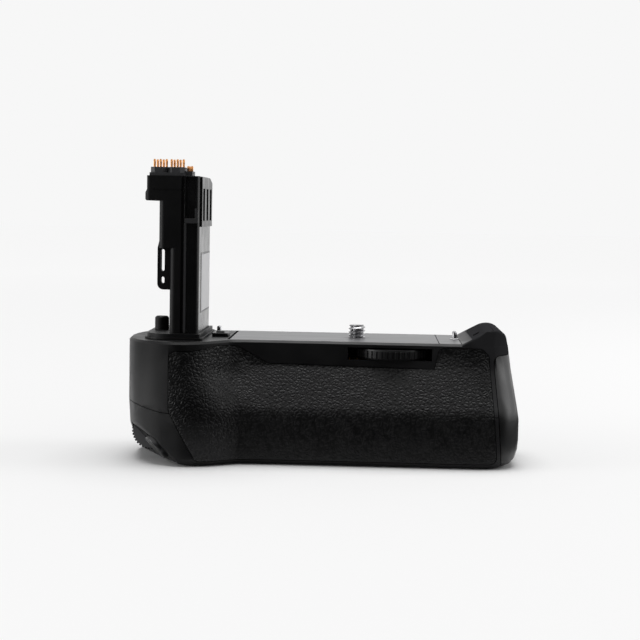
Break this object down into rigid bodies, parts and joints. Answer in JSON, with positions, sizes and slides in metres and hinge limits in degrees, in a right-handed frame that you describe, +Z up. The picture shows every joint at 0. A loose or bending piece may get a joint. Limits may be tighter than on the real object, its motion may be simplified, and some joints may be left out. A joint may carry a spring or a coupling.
{
  "type": "camera battery grip",
  "caption": "Black battery grip for an interchangeable-lens camera, with a battery-shaped contact post, a tripod screw turned by a ribbed dial, a sliding magazine and upright-hold controls.",
  "frame": {"origin": "on the axis of the attachment screw, in the plane of the deck", "axes": "+Z up along the screw, -Y towards the front with the dial window, +X towards the magazine cap"},
  "size_m": [0.1435, 0.0613, 0.1092],
  "materials": {
    "case_plastic": "fine mould texture",
    "inner_plastic": "plain moulded",
    "gloss_plastic": "satin to gloss",
    "grip_rubber": "leather grain",
    "deck_metal": "satin",
    "steel": "turned",
    "gear_brass": "machined",
    "contact_gold": "plated",
    "circuit_board": "coated",
    "flat_cable": "film"
  },
  "bodies": {
    "grip": {"upper_case": "case_plastic", "lower_case": "case_plastic", "inner_frame": "inner_plastic", "camera_plate": "deck_metal", "front_rubber": "grip_rubber", "rear_rubber": "grip_rubber", "post_left": "case_plastic", "post_right": "case_plastic", "post_collar": "case_plastic", "cover_loop": "case_plastic", "terminal_module": "case_plastic", "contact_block": "case_plastic", "locating_pins": "steel", "switch_block": "inner_plastic", "post_cable": "flat_cable", "main_board": "circuit_board", "drive_plate": "steel", "dial_axle": "steel", "screw_bush": "gear_brass", "drive_screws": "steel", "frame_screws": "steel", "case_screws": "steel", "tripod_bush": "steel", "shutter_switch": "circuit_board", "main_dial_axle": "steel", "dial_encoder": "inner_plastic", "button_board": "circuit_board", "housing_contacts": "contact_gold"},
    "contact_pins": {"contact_pins": "contact_gold"},
    "attachment_dial": {"attachment_dial": "gloss_plastic"},
    "attachment_screw": {"attachment_screw": "steel", "screw_gear": "gear_brass", "screw_clip": "steel"},
    "shutter_button": {"shutter_button": "gloss_plastic"},
    "main_dial": {"main_dial": "gloss_plastic"},
    "focus_button": {"focus_button": "gloss_plastic"},
    "lock_button": {"lock_button": "gloss_plastic"},
    "point_button": {"point_button": "gloss_plastic"},
    "power_lever": {"power_lever": "gloss_plastic"},
    "magazine": {"magazine_tray": "inner_plastic", "magazine_cap": "gloss_plastic", "magazine_contacts": "contact_gold", "cap_screws": "steel"},
    "release_handle": {"release_handle": "gloss_plastic", "handle_spindle": "steel"},
    "latch_bolt": {"latch_bolt": "steel"}
  },
  "joints": [
    {"name": "contact_press", "type": "slide", "parent": "grip", "child": "contact_pins", "axis": [0, 0, -1], "range_m": [0, 0.001], "stiffness_N_per_m": 600},
    {"name": "dial_spin", "type": "hinge", "parent": "grip", "child": "attachment_dial", "pos_m": [0.013, -0.01095, -0.0043], "axis": [0, 0, 1], "continuous": true},
    {"name": "screw_spin", "type": "hinge", "parent": "grip", "child": "attachment_screw", "pos_m": [0, 0, 0], "axis": [0, 0, 1], "continuous": true},
    {"name": "shutter_press", "type": "slide", "parent": "grip", "child": "shutter_button", "axis": [0.6803, 0.3302, 0.6543], "range_m": [0, 0.0008], "stiffness_N_per_m": 600},
    {"name": "main_dial_spin", "type": "hinge", "parent": "grip", "child": "main_dial", "pos_m": [-0.0742, -0.0185, -0.0338], "axis": [0, 1, 0], "continuous": true},
    {"name": "focus_press", "type": "slide", "parent": "grip", "child": "focus_button", "axis": [0, -1, 0], "range_m": [0, 0.0006], "stiffness_N_per_m": 600},
    {"name": "lock_press", "type": "slide", "parent": "grip", "child": "lock_button", "axis": [0, -1, 0], "range_m": [0, 0.0006], "stiffness_N_per_m": 600},
    {"name": "point_press", "type": "slide", "parent": "grip", "child": "point_button", "axis": [0, -1, 0], "range_m": [0, 0.0006], "stiffness_N_per_m": 600},
    {"name": "power_turn", "type": "hinge", "parent": "grip", "child": "power_lever", "pos_m": [-0.0716, 0.0206, -0.0332], "axis": [0, 1, 0], "range_deg": [0, 40]},
    {"name": "magazine_slide", "type": "slide", "parent": "grip", "child": "magazine", "axis": [1, 0, 0], "range_m": [0, 0.122]},
    {"name": "handle_turn", "type": "hinge", "parent": "magazine", "child": "release_handle", "pos_m": [0.054, -0.004, -0.022], "axis": [1, 0, 0], "range_deg": [0, 90]},
    {"name": "bolt_lift", "type": "slide", "parent": "magazine", "child": "latch_bolt", "axis": [0, 0, 1], "range_m": [0, 0.00393]}
  ],
  "couplings": [
    {"joint": "screw_spin", "follows": "dial_spin", "ratio": -0.66667},
    {"joint": "handle_turn", "follows": "bolt_lift", "rad_per_m": 400}
  ]
}
